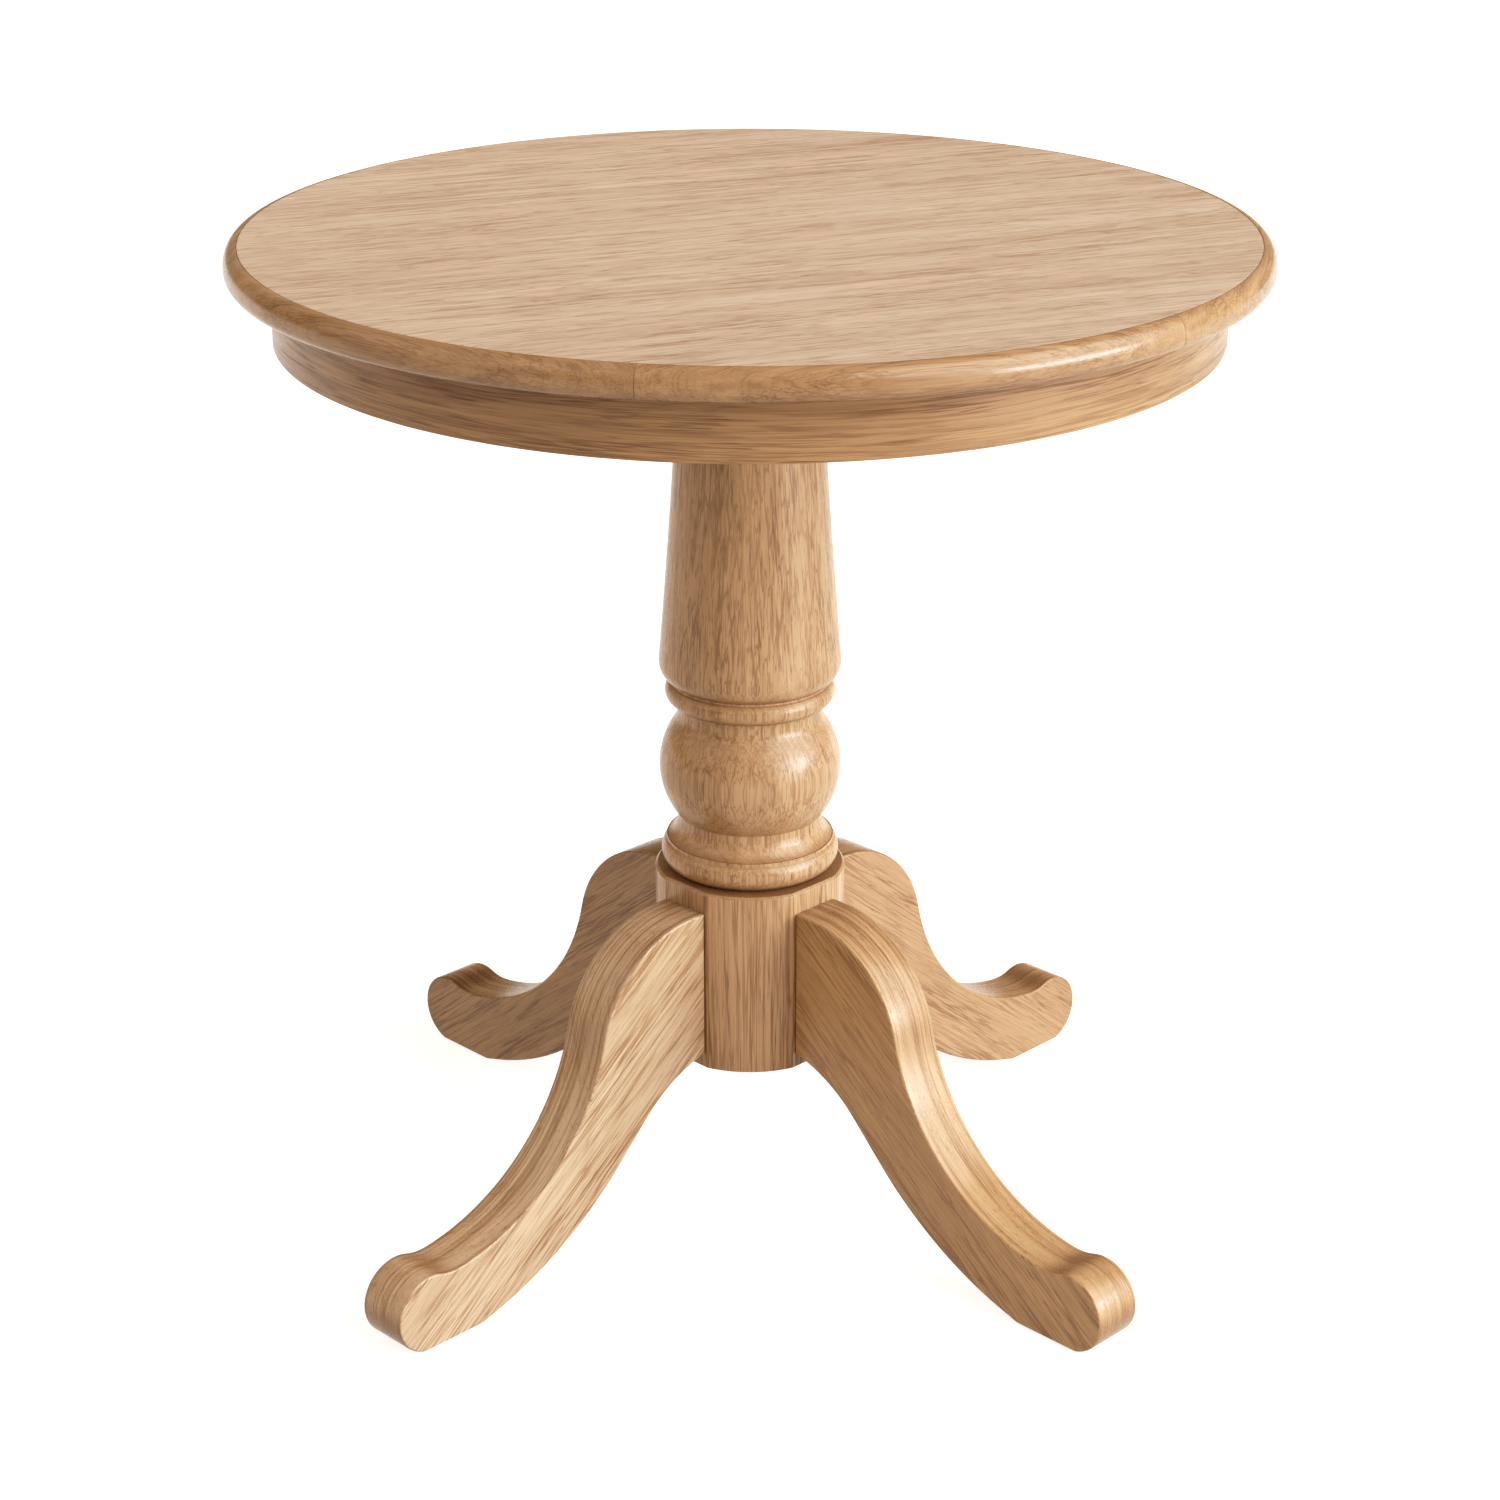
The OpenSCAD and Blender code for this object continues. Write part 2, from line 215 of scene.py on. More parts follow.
def anticlockwise(outline):
    area = sum(a.cross(b) for a, b in zip(outline, outline[1:] + outline[:1]))
    return outline if area > 0 else outline[::-1]


# ---- meshes ----

def make_mesh(name, points, faces):
    mesh = bpy.data.meshes.new(name)
    mesh.from_pydata([tuple(p) for p in points], [], faces)
    mesh.validate()
    return mesh


def show_piece(mesh, replaced):
    """Shows a mesh, smooth-shaded, in place of a CAD node. It rides on the table's one body."""
    mesh.shade_smooth()
    mesh.set_sharp_from_angle(angle=SHARP_EDGE)
    piece = bpy.data.objects.new(mesh.name, mesh)
    bpy.context.scene.collection.objects.link(piece)
    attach(piece, "root")
    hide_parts(replaced)
    return piece


def bridge(rings):
    """Quads between closed rings of equal length, whose points are numbered one ring after another."""
    count = len(rings[0])
    faces = []
    for i in range(len(rings) - 1):
        a, b = i * count, (i + 1) * count
        for j in range(count):
            k = (j + 1) % count
            faces.append((a + j, a + k, b + k, b + j))
    return faces


ARC_STEP = math.radians(0.75)  # spacing of the sections along a swept arc
SECTION_STEP = 1.5 * MM        # spacing of the points round a section
JOINT_EASE = 0.25 * MM         # easing of a swept arc's two ends
JOINT_GAP = 0.03 * MM          # half the hairline gap where two arcs meet


def swept_arc(name, node, start, end, ease):
    """A piece whose section runs round the table's axis between two azimuths, with its ends eased."""
    def flatten(x, y, z):
        return math.hypot(x, y), z, math.atan2(y * math.cos(start) - x * math.sin(start),
                                               x * math.cos(start) + y * math.sin(start))

    section = straightened(flat_outline(node, flatten, 0), closed=True)
    section = anticlockwise(smoothed(eased(section, ease, closed=True), SECTION_STEP, closed=True))
    middle_r = sum(p.x for p in section) / len(section)
    partly = 0.3 * JOINT_EASE
    ends = [(JOINT_GAP, JOINT_EASE), (JOINT_GAP + partly, partly), (JOINT_GAP + JOINT_EASE, 0)]
    steps = max(2, math.ceil((end - start) / ARC_STEP))
    stations = [(start + along / middle_r, shrink) for along, shrink in ends]
    first, last = stations[-1][0], end - ends[-1][0] / middle_r
    stations += [(first + (last - first) * k / steps, 0) for k in range(1, steps)]
    stations += [(end - along / middle_r, shrink) for along, shrink in reversed(ends)]
    rings = []
    for azimuth, shrink in stations:
        ring = inset(section, shrink) if shrink else section
        rings.append([(p.x * math.cos(azimuth), p.x * math.sin(azimuth), p.y) for p in ring])
    faces = bridge(rings)
    count = len(section)
    faces.append(tuple(range(count)))
    faces.append(tuple(range(len(rings) * count - 1, (len(rings) - 1) * count - 1, -1)))
    mesh = make_mesh(name, [p for ring in rings for p in ring], [f[::-1] for f in faces])
    return show_piece(mesh, node)


# ---- the column, turned from one blank ----

COLUMN_STEP = 3.5 * MM        # spacing of the column's rings of points along its outline
COLUMN_EASE = 0.6 * MM
LEAST_TURNED_R = 48 * MM      # smaller than any turned part, larger than the holes inside
BOTTOM_STRIP = 10 * MM        # the outer part of the block's lower face that belongs to its outline
FLAT_PARTS = 16               # points along each flat
ROUND_PARTS = 32              # points along each round part between flats

column_points = node_points("pedestal_column")
column_r = np.hypot(column_points[:, 0], column_points[:, 1])
block_lo = column_lo.z
block_r = column_r.max()
is_block_edge = (column_r > block_r - 4 * MM) & (column_points[:, 2] < 300 * MM)
block_hi = column_points[is_block_edge, 2].max()
shaft_top_r = column_r[column_points[:, 2] > column_hi.z - 0.01 * MM].max()

one_leg = in_leg(math.radians(LEG_AZIMUTHS["front_left"]))
leg_points = [one_leg(*p) for p in node_points("front_left_leg")]
flat_r = min(p[0] for p in leg_points)
leg_half = max(p[2] for p in leg_points)
pocket_half = max(one_leg(*p)[0] for p in node_points("front_left_washers"))
is_pocket_corner = abs(column_r - pocket_half * math.sqrt(2)) < 0.1 * MM
pocket_hi = column_points[is_pocket_corner, 2].max()


def block_sides():
    """Azimuths for the column: every corner of its flats and of its square pocket is one of them."""
    half_flat = math.acos(flat_r / block_r)
    azimuths = []
    for diagonal in range(4):
        middle = math.radians(45 + 90 * diagonal)
        azimuths += [middle - half_flat + 2 * half_flat * k / FLAT_PARTS for k in range(FLAT_PARTS)]
        round_part = math.radians(90) - 2 * half_flat
        azimuths += [middle + half_flat + round_part * k / ROUND_PARTS for k in range(ROUND_PARTS)]
    return azimuths


def from_diagonal(azimuth):
    """The angle between an azimuth and the nearest diagonal."""
    return azimuth % math.radians(90) - math.radians(45)


def build_column():
    """The column with its block's flats and its pocket, but without the holes inside."""
    profile = [Vector((block_r - BOTTOM_STRIP, block_lo)), Vector((block_r, block_lo)),
               Vector((block_r, block_hi - 2 * MM))]
    profile += turned_profile("pedestal_column", block_hi - 1 * MM, column_hi.z - 0.1 * MM,
                              LEAST_TURNED_R)
    profile.append(Vector((shaft_top_r, column_hi.z)))
    profile = straightened(profile, closed=False)
    profile = smoothed(eased(profile, COLUMN_EASE, closed=False), COLUMN_STEP, closed=False)
    azimuths = block_sides()
    rings = []

    def ring(radius_at, z):
        """Adds a ring of points; radius_at turns an azimuth into the distance from the axis."""
        rings.append([(radius_at(a) * math.cos(a), radius_at(a) * math.sin(a), z) for a in azimuths])

    def square(half):
        return lambda a: half / math.cos(from_diagonal(a))

    def round_with_flats(r, flat):
        return lambda a: min(r, flat / math.cos(from_diagonal(a)))

    # the pocket from the middle of its ceiling down to its chamfered mouth, the outside from there
    # up to the top, and the middle of the top
    ring(square(0.5 * pocket_half), pocket_hi)
    ring(square(pocket_half), pocket_hi)
    ring(square(pocket_half), block_lo + 0.8 * MM)
    ring(square(1.02 * pocket_half), block_lo)
    for p in profile:
        if p.y < block_hi + 0.01 * MM and p.x > block_r - BOTTOM_STRIP - 2 * MM:
            ring(round_with_flats(p.x, flat_r - max(0, block_r - p.x)), p.y)
        else:
            ring(lambda a, r=p.x: r, p.y)
    ring(lambda a: 0.5 * shaft_top_r, column_hi.z)
    faces = bridge(rings)
    points = [p for r in rings for p in r]
    count = len(azimuths)
    for base, z, flip in ((0, pocket_hi, 1), (len(points) - count, column_hi.z, -1)):
        points.append((0, 0, z))
        for j in range(count):
            faces.append((len(points) - 1, base + (j + 1) % count, base + j)[::flip])
    return show_piece(make_mesh("turned_column", points, faces), "pedestal_column")


# ---- materials ----

class Nodes:
    """Short names for the shader nodes used here. Inputs are numbers, tuples or other nodes' outputs."""

    def __init__(self, name):
        self.material = bpy.data.materials.new(name)
        self.material.use_nodes = True
        self.tree = self.material.node_tree
        self.tree.nodes.clear()

    def add(self, kind, inputs=(), out=0, **settings):
        node = self.tree.nodes.new(kind)
        for key, value in settings.items():
            setattr(node, key, value)
        for key, value in dict(inputs).items():
            self.feed(node.inputs[key], value)
        return node.outputs[out]

    def feed(self, socket, value):
        if isinstance(value, bpy.types.NodeSocket):
            self.tree.links.new(value, socket)
        else:
            socket.default_value = value

    def math(self, operation, a, b=0.0, c=0.0):
        return self.add("ShaderNodeMath", {0: a, 1: b, 2: c}, operation=operation)

    def noise(self, vector, scale, detail=2.0, roughness=0.5, colour=False):
        return self.add("ShaderNodeTexNoise", {"Vector": vector, "Scale": scale, "Detail": detail,
                                               "Roughness": roughness}, out=int(colour))

    def noise_along(self, value, scale, detail=1.0):
        return self.add("ShaderNodeTexNoise", {"W": value, "Scale": scale, "Detail": detail},
                        noise_dimensions="1D")

    def scaled(self, vector, factors):
        return self.add("ShaderNodeVectorMath", {0: vector, 1: factors}, operation="MULTIPLY")

    def shifted(self, vector, amount):
        return self.add("ShaderNodeVectorMath", {0: vector, 1: amount})

    def ramp(self, value, low, high, to_low=0.0, to_high=1.0, smooth=True):
        return self.add("ShaderNodeMapRange", {"Value": value, "From Min": low, "From Max": high,
                                               "To Min": to_low, "To Max": to_high},
                        interpolation_type="SMOOTHSTEP" if smooth else "LINEAR")

    def split(self, vector):
        node = self.tree.nodes.new("ShaderNodeSeparateXYZ")
        self.feed(node.inputs[0], vector)
        return node.outputs

    def joined(self, x, y, z):
        return self.add("ShaderNodeCombineXYZ", {0: x, 1: y, 2: z})

    def mix(self, factor, a, b, blend="MIX"):
        node = self.tree.nodes.new("ShaderNodeMix")
        node.data_type = "RGBA"
        node.blend_type = blend
        self.feed(node.inputs[0], factor)
        self.feed(node.inputs[6], a)
        self.feed(node.inputs[7], b)
        return node.outputs[2]

    def surface(self, colour, roughness, height, depth, **constants):
        bump = self.add("ShaderNodeBump", {"Height": height, "Strength": 1.0, "Distance": depth})
        shader = self.tree.nodes.new("ShaderNodeBsdfPrincipled")
        self.feed(shader.inputs["Base Color"], colour)
        self.feed(shader.inputs["Roughness"], roughness)
        self.feed(shader.inputs["Normal"], bump)
        for key, value in constants.items():
            shader.inputs[key.replace("_", " ")].default_value = value
        output = self.tree.nodes.new("ShaderNodeOutputMaterial")
        self.tree.links.new(shader.outputs[0], output.inputs["Surface"])


def linear(*srgb):
    """An 8-bit sRGB colour as Blender's linear RGBA."""
    channels = [c / 255 / 12.92 if c < 11 else ((c / 255 + 0.055) / 1.055) ** 2.4 for c in srgb]
    return (*channels, 1.0)


def board(nodes, origin=(0, 0, 0), turn=(0, 0, 0)):
    """Coordinates in a board lying at origin: x along its grain, y and z across."""
    place = nodes.add("ShaderNodeTexCoord", out=3)
    return nodes.add("ShaderNodeMapping", {"Vector": place, "Location": origin, "Rotation": turn},
                     vector_type="TEXTURE")


def bent_board(nodes, radius):
    """Coordinates in a board bent round the table's axis: x along the bend, y up, z outwards."""
    x, y, z = nodes.split(nodes.add("ShaderNodeTexCoord", out=3))
    along = nodes.math("MULTIPLY", nodes.math("ARCTAN2", y, x), radius)
    outwards = nodes.math("SQRT", nodes.math("ADD", nodes.math("MULTIPLY", x, x),
                                             nodes.math("MULTIPLY", y, y)))
    return nodes.joined(along, z, outwards)


OAK_LIGHT = linear(211, 182, 148)
OAK_DARK = linear(149, 114, 79)
OAK_PORE = linear(112, 78, 46)
# noise frequencies, per metre along the grain and across it
SLOW_DRIFT = (1.8, 8, 8)
QUICK_DRIFT = (7, 16, 16)
RING_WAVE = (4.5, 55, 55)
CLOUDS = (2.5, 30, 30)
STREAKS = (2, 150, 150)
LINES = (4.5, 170, 170)
FINE_LINES = (7, 330, 330)
LINE_FADING = (7, 70, 70)
EDGE_LAYERS = (3, 9, 420)
PORES = (16, 800, 800)
FIBRES = (30, 1700, 1700)

# how far each of them darkens the wood, from its light colour at 0 to its dark one at 1
RING_SHADE = 0.30
LAYER_SHADE = 0.55
STREAK_SHADE = 0.30
LINE_SHADE = 0.85
FIBRE_SHADE = 0.12
CLOUD_SHADE = 0.25
END_GRAIN_SHADE = 0.65
PORE_SHADE = 0.5       # from the wood's colour to the pores'
LAMELLA_SHADE = 0.08   # from the darkest glued layer to the palest


def oak(name, place, grain=None, face=None, reach=1.0, pith=(0.0, 0.12), ring=4 * MM, taper=0.0,
        wander=4 * MM, weave=0.8, tone=1.0, figure=1.0, streaks=1.0, lining=1.0, steady=0.3, pores=1.0,
        seed=0.0, lamella=0.0, light=OAK_LIGHT, dark=OAK_DARK, gloss=0.33, specular=0.5):
    """Oak, solid right through the piece: growth rings about a pith that lies at pith across the
    board, broken into early-wood pores, with fibres along the grain. place builds the coordinates,
    grain is the grain's direction, face the direction that a flat-sawn board's wide faces look in,
    reach how short the lines along the grain are, taper opens the rings into cathedral arches,
    weave makes them wavy by that many rings, and lamella is the thickness of glued layers. figure,
    streaks, lining and pores scale what darkens the wood, and steady is what a line keeps where it
    fades."""
    nodes = Nodes(name)
    vector = place(nodes)
    if lamella:
        layer = nodes.math("FLOOR", nodes.math("DIVIDE", nodes.split(vector)[2], lamella))
        jump = nodes.noise_along(nodes.math("ADD", layer, seed), 7.31, 0)
        shade_of_layer = nodes.ramp(jump, 0.3, 0.7, smooth=False)
        vector = nodes.shifted(vector, nodes.scaled(nodes.joined(jump, jump, 0.0), (0.9, 0.05, 0)))
    vector = nodes.shifted(vector, (seed * 1.7, 0, 0))

    # the trunk wanders, so the rings and the fibres do
    middle = (-0.5, -0.5, -0.5)
    slow = nodes.noise(nodes.scaled(vector, SLOW_DRIFT), 1, 2, 0.45, colour=True)
    quick = nodes.noise(nodes.scaled(vector, QUICK_DRIFT), 1, 1, 0.5, colour=True)
    drift = nodes.scaled(nodes.shifted(slow, middle), (0, 4 * wander, 4 * wander))
    ripple = nodes.scaled(nodes.shifted(quick, middle), (0, wander, wander))
    x, y, z = nodes.split(nodes.shifted(nodes.shifted(vector, drift), ripple))
    fibres = nodes.shifted(nodes.shifted(vector, nodes.scaled(drift, (1, 0.5, 0.5))), ripple)
    dy = nodes.math("SUBTRACT", y, pith[0])
    dz = nodes.math("SUBTRACT", z, pith[1])
    radius = nodes.math("SQRT", nodes.math("MULTIPLY_ADD", dy, dy, nodes.math("MULTIPLY", dz, dz)))
    radius = nodes.math("MULTIPLY_ADD", x, -taper, radius)
    rings = nodes.math("DIVIDE", radius, ring)
    rings = nodes.math("MULTIPLY_ADD", nodes.noise_along(rings, 0.35), 2.2, rings)
    wave = nodes.noise(nodes.scaled(vector, RING_WAVE), 1, 3, 0.55)
    rings = nodes.math("MULTIPLY_ADD", wave, 4 * weave, rings)

    # early wood starts each ring sharply and fades into late wood
    phase = nodes.math("FRACT", rings)
    early = nodes.math("MULTIPLY", nodes.ramp(phase, 0.0, 0.10), nodes.ramp(phase, 0.62, 0.12))
    strength = nodes.ramp(nodes.noise_along(nodes.math("FLOOR", rings), 3.7, 0), 0.25, 0.75, 0.2, 1)
    early = nodes.math("MULTIPLY", early, strength)

    cloud = nodes.noise(nodes.scaled(vector, CLOUDS), 1, 2, 0.5)
    streak = nodes.noise(nodes.scaled(fibres, STREAKS), 1, 2, 0.55)
    fibre = nodes.noise(nodes.scaled(fibres, FIBRES), 1, 2, 0.6)
    dash = nodes.noise(nodes.scaled(fibres, PORES), 1, 2, 0.6)
    pore_limit = nodes.ramp(early, 0, 0.8, 0.64, 0.56, smooth=False)
    pore = nodes.ramp(nodes.math("SUBTRACT", dash, pore_limit), 0.0, 0.07)

    # rows of pores: thin wavering lines that come and go
    lines = 0.0
    for shift, (along, across, through) in ((0.0, LINES), (3.3, FINE_LINES)):
        scale = (along * reach, across, through)
        level = nodes.noise(nodes.scaled(nodes.shifted(fibres, (shift, 0, 0)), scale), 1, 2, 0.5)
        off = nodes.math("ABSOLUTE", nodes.math("SUBTRACT", level, 0.5))
        line = nodes.ramp(off, 0.0, 0.05, 1.0, 0.0)
        lines = nodes.math("MAXIMUM", line, lines)
    fading = nodes.noise(nodes.scaled(fibres, LINE_FADING), 1, 2, 0.5)
    lines = nodes.math("MULTIPLY", lines, nodes.ramp(fading, 0.3, 0.65, steady))

    def facing(way):
        """How squarely the surface faces one way or its opposite."""
        normal = nodes.add("ShaderNodeNewGeometry", out=1)
        dot = nodes.add("ShaderNodeVectorMath", {0: normal, 1: way}, out=1, operation="DOT_PRODUCT")
        return nodes.math("ABSOLUTE", dot)

    # where the surface cuts across the fibres, they show as dots too fine to see
    along_surface = nodes.ramp(facing(grain), 0.2, 0.8, 1.0, 0.25) if grain else 1.0
    grainy = nodes.math("MULTIPLY", nodes.ramp(streak, 0.3, 0.7), STREAK_SHADE * streaks)
    grainy = nodes.math("MULTIPLY_ADD", lines, LINE_SHADE * lining, grainy)
    grainy = nodes.math("MULTIPLY", grainy, along_surface)
    ringy = nodes.math("MULTIPLY", early, RING_SHADE * figure)
    if face:
        # a flat-sawn board shows its rings as close lines on its edges and hardly on its faces
        edge = nodes.ramp(facing(face), 0.3, 0.9, 1.0, 0.0)
        grainy = nodes.math("MULTIPLY", grainy, nodes.math("MULTIPLY_ADD", edge, -0.7, 1.0))
        layers = nodes.noise(nodes.scaled(fibres, EDGE_LAYERS), 1, 3, 0.6)
        layers = nodes.math("MULTIPLY_ADD", nodes.ramp(layers, 0.42, 0.64), LAYER_SHADE, ringy)
        ringy = nodes.math("MULTIPLY_ADD", nodes.math("SUBTRACT", layers, ringy), edge, ringy)
    shade = nodes.math("ADD", ringy, grainy)
    shade = nodes.math("MULTIPLY_ADD", nodes.ramp(fibre, 0.3, 0.7), FIBRE_SHADE, shade)
    shade = nodes.math("MULTIPLY_ADD", nodes.ramp(cloud, 0.25, 0.75), CLOUD_SHADE, shade)
    if grain:
        # end grain drinks the lacquer and is darker
        end_grain = nodes.ramp(facing(grain), 0.45, 0.95)
        shade = nodes.math("MULTIPLY_ADD", end_grain, END_GRAIN_SHADE, shade)
    colour = nodes.mix(shade, light, dark)
    porous = nodes.math("MULTIPLY", nodes.math("MULTIPLY", pore, PORE_SHADE * pores), along_surface)
    colour = nodes.mix(porous, colour, OAK_PORE)
    value = tone
    if lamella:
        value = nodes.math("MULTIPLY_ADD", shade_of_layer, LAMELLA_SHADE, tone - LAMELLA_SHADE / 2)
    colour = nodes.add("ShaderNodeHueSaturation", {"Color": colour, "Value": value})

    roughness = nodes.math("MULTIPLY_ADD", nodes.ramp(fibre, 0.2, 0.8), 0.10, gloss - 0.05)
    roughness = nodes.math("MULTIPLY_ADD", porous, 0.3, roughness)
    height = nodes.math("MULTIPLY_ADD", fibre, 0.35, nodes.math("MULTIPLY", porous, -1.2))
    height = nodes.math("MULTIPLY_ADD", lines, -0.4, height)
    nodes.surface(colour, roughness, height, 0.06 * MM, Specular_IOR_Level=specular)
    return nodes.material


def direction(slope, azimuth):
    """The unit vector at an azimuth that falls by slope below the horizontal."""
    return (math.cos(slope) * math.cos(azimuth), math.cos(slope) * math.sin(azimuth), -math.sin(slope))


def painted(piece, *materials):
    piece.data.materials.clear()
    for material in materials:
        piece.data.materials.append(material)
    return piece


def steel(name, colour, roughness):
    nodes = Nodes(name)
    place = nodes.add("ShaderNodeTexCoord", out=3)
    cloud = nodes.noise(place, 90, 3, 0.6)
    grain = nodes.noise(place, 2500, 2, 0.5)
    darker = tuple(0.6 * c for c in colour[:3]) + (1.0,)
    tint = nodes.mix(nodes.ramp(cloud, 0.3, 0.7), colour, darker)
    rough = nodes.ramp(cloud, 0.3, 0.7, roughness, roughness + 0.15)
    nodes.surface(tint, rough, grain, 0.02 * MM, Metallic=1.0)
    return nodes.material


def pressed(name, colour, speck_scale, roughness, depth):
    """A dense, grainless material: fibreboard or moulded plastic."""
    nodes = Nodes(name)
    place = nodes.add("ShaderNodeTexCoord", out=3)
    speck = nodes.noise(place, speck_scale, 4, 0.7)
    darker = tuple(0.7 * c for c in colour[:3]) + (1.0,)
    tint = nodes.mix(nodes.ramp(speck, 0.35, 0.65), colour, darker)
    rough = nodes.ramp(speck, 0.3, 0.7, roughness, roughness + 0.12)
    nodes.surface(tint, rough, speck, depth)
    return nodes.material


# ---- top ----

VENEER_TURN = math.radians(21)
VENEER_GAP = 0.5 * MM         # the fine groove between the veneer and the rim
VENEER_EASE = 0.25 * MM
VENEER_SIDES = 720
# the veneer's leaves from the front to the back: where each ends across the grain, and its own oak
LEAVES = [
    (-219 * MM, dict(pith=(-0.30, 0.10), taper=0.02, tone=1.00)),
    (-112 * MM, dict(pith=(-0.165, 0.012), taper=0.09, tone=0.97)),
    (20 * MM, dict(pith=(-0.03, 0.03), taper=0.07, tone=1.04)),
    (109 * MM, dict(pith=(0.07, 0.012), taper=0.08, tone=1.00)),
    (230 * MM, dict(pith=(0.40, 0.10), taper=0.02, tone=1.02)),
    (400 * MM, dict(pith=(0.52, 0.05), taper=0.03, tone=0.97)),
]


def build_veneer():
    """The face veneer: a disc with an eased edge, cut along the grain into its leaves. Its edge
    has the material that comes after theirs."""
    radius = top_hi.x - VENEER_GAP
    ease = VENEER_EASE
    azimuths = [TAU * k / VENEER_SIDES for k in range(VENEER_SIDES)]
    work = bmesh.new()
    rings = []
    for r, z in ((radius - ease, top_lo.z), (radius, top_lo.z + ease / 2), (radius, top_hi.z - ease),
                 (radius - 0.3 * ease, top_hi.z - 0.3 * ease), (radius - ease, top_hi.z)):
        rings.append([work.verts.new((r * math.cos(a), r * math.sin(a), z)) for a in azimuths])
    for low, high in zip(rings, rings[1:]):
        for k in range(VENEER_SIDES):
            n = (k + 1) % VENEER_SIDES
            work.faces.new((low[k], low[n], high[n], high[k]))
    work.faces.new(rings[0][::-1])
    work.faces.new(rings[-1])
    across = Vector((-math.sin(VENEER_TURN), math.cos(VENEER_TURN), 0))
    for leaf_end, _ in LEAVES[:-1]:
        everything = work.verts[:] + work.edges[:] + work.faces[:]
        bmesh.ops.bisect_plane(work, geom=everything, plane_co=across * leaf_end, plane_no=across)
    for face in work.faces:
        if abs(face.normal.z) < 0.5:
            face.material_index = len(LEAVES)
            continue
        place = face.calc_center_median().dot(across)
        face.material_index = next(i for i, (leaf_end, _) in enumerate(LEAVES) if place < leaf_end)
    mesh = bpy.data.meshes.new("top_veneer_leaves")
    work.to_mesh(mesh)
    work.free()
    return show_piece(mesh, "top_veneer")


glue_line = oak("glue_line", lambda n: board(n, turn=(0, 0, VENEER_TURN)), tone=0.6)
# the leaves' pale, greyish colours carry a painted sheen: the lacquer's reflection, all but turned off
# by specular 0.02, is painted into them on top of the oak's own colour
leaves = [oak(f"oak_leaf_{i + 1}", lambda n: board(n, turn=(0, 0, VENEER_TURN)), ring=5 * MM,
              wander=5 * MM, figure=0.9, streaks=0.6, lining=0.65, pores=0.6, reach=2.6,
              seed=3.1 * i, specular=0.02, gloss=0.4, light=linear(224, 207, 191),
              dark=linear(177, 154, 131), **own) for i, (_, own) in enumerate(LEAVES)]
painted(build_veneer(), *leaves, glue_line)

# ---- rim ----

RIM_START = math.radians(259)
# one tone per board; the lower tones of the boards on the left, away from the light, are painted shade
RIM_TONES_AND_SHADE = (0.90, 0.92, 0.92, 0.92, 0.80, 0.88)
for i, tone in enumerate(RIM_TONES_AND_SHADE):
    start = RIM_START + i * TAU / len(RIM_TONES_AND_SHADE)
    end = start + TAU / len(RIM_TONES_AND_SHADE)
    chord = (start + end) / 2 + math.radians(90)
    segment = swept_arc(f"rim_board_{i + 1}", f"rim_segment_{i + 1}", start, end, 0.3 * MM)
    painted(segment, oak(f"oak_rim_{i + 1}", lambda n: board(n, turn=(0, 0, chord)),
                         grain=direction(0, chord), pith=(0.05 + 0.02 * i, 0.70), ring=1.8 * MM,
                         taper=0.02, light=linear(199, 167, 130), dark=linear(135, 102, 68),
                         figure=0.4, lining=0.4, pores=0.4, seed=2.3 * i + 1, gloss=0.22, tone=tone))

# ---- apron ----

APRON_MIDDLE_R = 334 * MM
# both halves' low tone, 0.81, darkens the apron where it lies in the top's shade: painted shade on the
# oak's own colour
for i, (node, start) in enumerate((("apron_front_half", 180), ("apron_back_half", 0))):
    half = swept_arc(node.replace("half", "bend"), node, math.radians(start),
                     math.radians(start + 180), 1.2 * MM)
    painted(half, oak(f"oak_apron_{i + 1}", lambda n: bent_board(n, APRON_MIDDLE_R), pith=(0.72, 0.30),
                      ring=5 * MM, taper=0.03, seed=11 + i, tone=0.81, gloss=0.3, figure=0.8,
                      streaks=0.7, lining=0.7, light=linear(205, 170, 129),
                      dark=linear(137, 100, 61)))

# ---- column ----

turned_oak = oak("turned_oak", lambda n: board(n, turn=(0, math.radians(-90), 0)), grain=(0, 0, 1),
                 pith=(0.28, -0.20), ring=3.5 * MM, seed=5, figure=0.8, streaks=0.5, lining=0.7,
                 steady=0.6, tone=0.95, gloss=0.28, light=linear(211, 181, 145))
painted(build_column(), turned_oak)

# ---- legs ----

GRAIN_SLOPE = math.radians(38)
LEG_LAYERS = 3
LEG_EASE = 1.8 * MM           # of the long edges
LEG_CORNER_EASE = 0.5 * MM    # of the corners of the sawn outline
LEG_STEP = 1 * MM             # spacing of the points along the sawn outline
LADDER = 150                  # points along a leg's upper edge, and as many along its lower one
LEG_JOINT_Z = 200 * MM        # a height within the leg's joint to the column


def evenly(points, count):
    """A polyline's points respaced into count equal steps."""
    lengths = np.cumsum([0] + [(b - a).length for a, b in zip(points, points[1:])])
    marks = np.linspace(0, lengths[-1], count)
    xs = np.interp(marks, lengths, [p.x for p in points])
    ys = np.interp(marks, lengths, [p.y for p in points])
    return [Vector(p) for p in zip(xs, ys)]


